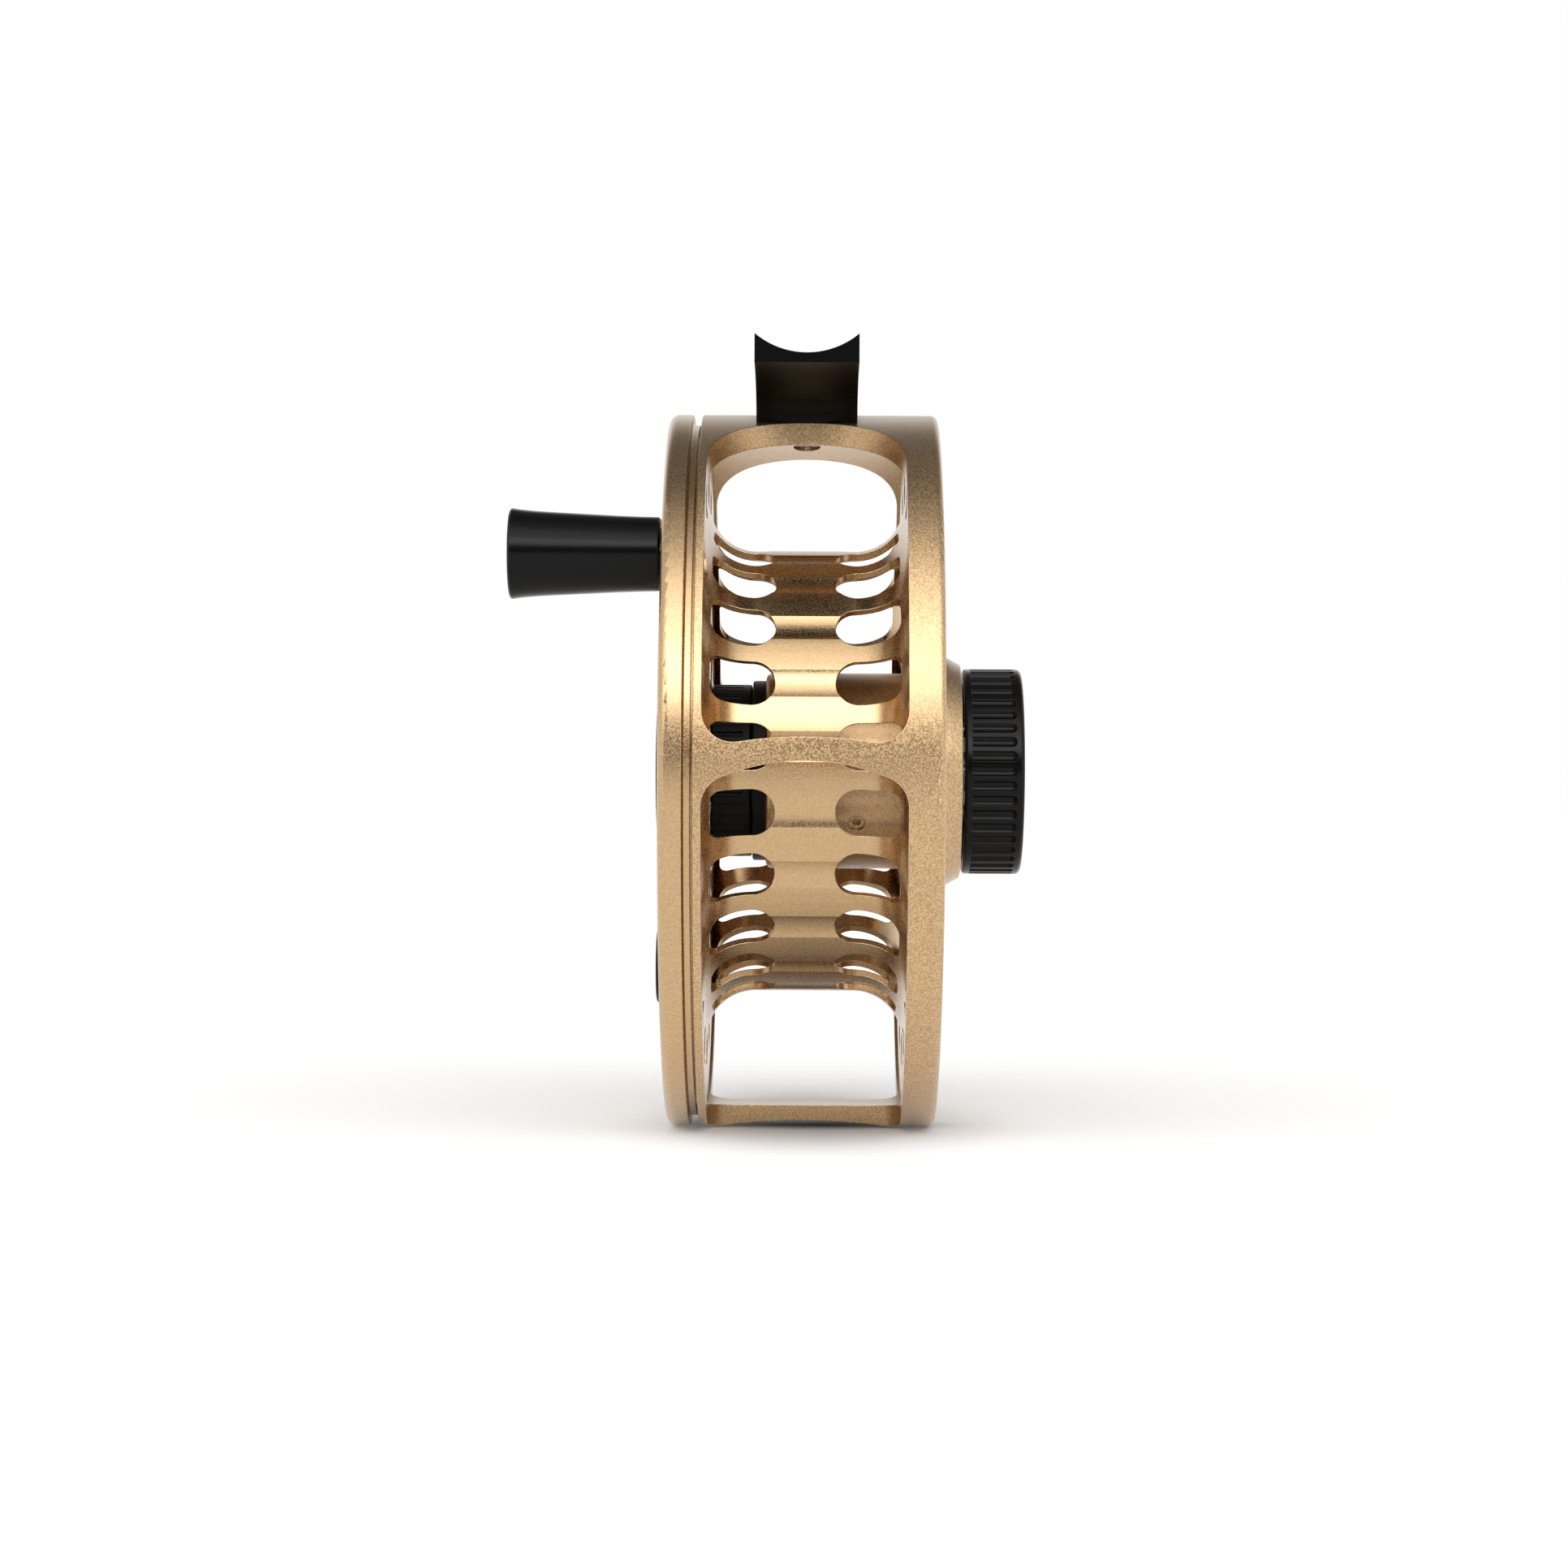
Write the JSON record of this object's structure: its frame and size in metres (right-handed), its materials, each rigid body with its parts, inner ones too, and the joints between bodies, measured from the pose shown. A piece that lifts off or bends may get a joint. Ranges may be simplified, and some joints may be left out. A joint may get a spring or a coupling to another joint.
{
  "type": "fly reel",
  "caption": "Large-arbor fly fishing reel: gold cage frame and drilled spool, black foot, crank handle and fluted drag knob, with a sealed disc drag inside.",
  "frame": {"origin": "middle of the foot's saddle, on its lowest line, where the rod's reel seat bears", "axes": "+X along the spin axis towards the drag knob, so the handle is on the -X side; +Z out of the saddle towards the rod; the foot and the rod lie along Y"},
  "size_m": [0.063, 0.09, 0.0969],
  "materials": {
    "frame_gold": "bead-blasted champagne-gold anodised",
    "spool_gold": "satin champagne-gold anodised",
    "black_anodised": "satin black anodised",
    "black_hub": "matte black acetal",
    "spindle_steel": "ground stainless",
    "screw_steel": "black oxide stainless",
    "bearing_steel": "polished stainless",
    "disc_steel": "lapped stainless",
    "carbon_fibre": "woven carbon, matt",
    "bronze": "sintered bronze",
    "acetal_white": "natural acetal",
    "seal_rubber": "nitrile rubber"
  },
  "bodies": {
    "frame": {"frame": "frame_gold", "reel_foot": "black_anodised", "foot_screws": "screw_steel", "drag_housing": "frame_gold", "housing_screws": "screw_steel", "housing_set_screw": "frame_gold", "housing_cover": "black_hub", "cover_o_ring": "seal_rubber", "shaft_seal": "seal_rubber", "spindle": "spindle_steel", "bearing_clip": "spindle_steel", "hub_bearing_inner_race": "bearing_steel", "click_pawl_pin": "spindle_steel", "knob_screw": "screw_steel", "steel_drag_disc_1": "disc_steel", "steel_drag_disc_2": "disc_steel", "steel_drag_disc_3": "disc_steel", "steel_drag_disc_4": "disc_steel"},
    "drive_hub": {"drive_hub": "black_hub", "drive_pins": "spindle_steel", "hub_bearing_outer_race": "bearing_steel", "hub_bearing_balls": "bearing_steel", "clutch_cup": "bearing_steel", "clutch_rollers": "bearing_steel", "clutch_cage": "black_hub"},
    "spool": {"spool": "spool_gold", "counterweight": "black_anodised", "handle_post": "spindle_steel", "handle_washer": "bronze", "handle_screw": "screw_steel"},
    "spool_cap": {"spool_cap": "black_anodised"},
    "handle": {"handle_grip": "black_anodised", "handle_end_cap": "black_anodised", "handle_bushing": "acetal_white"},
    "drag_rotor": {"drag_sleeve": "spindle_steel", "sleeve_bushing_left": "bronze", "sleeve_bushing_right": "bronze", "carbon_drag_disc_1": "carbon_fibre", "carbon_drag_disc_2": "carbon_fibre", "carbon_drag_disc_3": "carbon_fibre"},
    "pressure_train": {"pressure_plate": "disc_steel", "push_pins": "spindle_steel", "thrust_washer": "disc_steel", "disc_spring_1": "spindle_steel", "disc_spring_2": "spindle_steel", "disc_spring_3": "spindle_steel"},
    "drag_knob": {"drag_knob": "black_anodised", "detent_ball": "bearing_steel", "detent_spring": "spindle_steel"},
    "adjuster_nut": {"adjuster_nut": "bronze"},
    "click_pawl": {"click_pawl": "disc_steel"}
  },
  "joints": [
    {"name": "spool_spin", "type": "hinge", "parent": "frame", "child": "drive_hub", "pos_m": [0, 0, -0.0496], "axis": [1, 0, 0], "continuous": true},
    {"name": "spool_release", "type": "slide", "parent": "drive_hub", "child": "spool", "axis": [-1, 0, 0], "range_m": [0, 0.032]},
    {"name": "spool_cap_turn", "type": "hinge", "parent": "spool", "child": "spool_cap", "pos_m": [-0.0176, 0, -0.0496], "axis": [-1, 0, 0], "range_deg": [0, 900]},
    {"name": "handle_spin", "type": "hinge", "parent": "spool", "child": "handle", "pos_m": [-0.0265, -0.02353, -0.02356], "axis": [1, 0, 0], "continuous": true},
    {"name": "drag_rotor_turn", "type": "hinge", "parent": "frame", "child": "drag_rotor", "pos_m": [0, 0, -0.0496], "axis": [1, 0, 0], "continuous": true},
    {"name": "drag_knob_turn", "type": "hinge", "parent": "frame", "child": "drag_knob", "pos_m": [0.0234, 0, -0.0496], "axis": [1, 0, 0], "range_deg": [0, 270]},
    {"name": "adjuster_nut_travel", "type": "slide", "parent": "drag_knob", "child": "adjuster_nut", "axis": [-1, 0, 0], "range_m": [0, 0.00053]},
    {"name": "pressure_plate_travel", "type": "slide", "parent": "frame", "child": "pressure_train", "axis": [-1, 0, 0], "range_m": [0, 0.00053]},
    {"name": "click_pawl_rock", "type": "hinge", "parent": "frame", "child": "click_pawl", "pos_m": [-0.0073, 0.0038, -0.04245], "axis": [1, 0, 0], "range_deg": [0, 12], "stiffness_Nm_per_rad": 0.0005, "springref_deg": -5.73}
  ],
  "couplings": [
    {"joint": "adjuster_nut_travel", "follows": "drag_knob_turn", "m_per_rad": 0.00011141},
    {"joint": "pressure_plate_travel", "follows": "drag_knob_turn", "m_per_rad": 0.00011141}
  ]
}
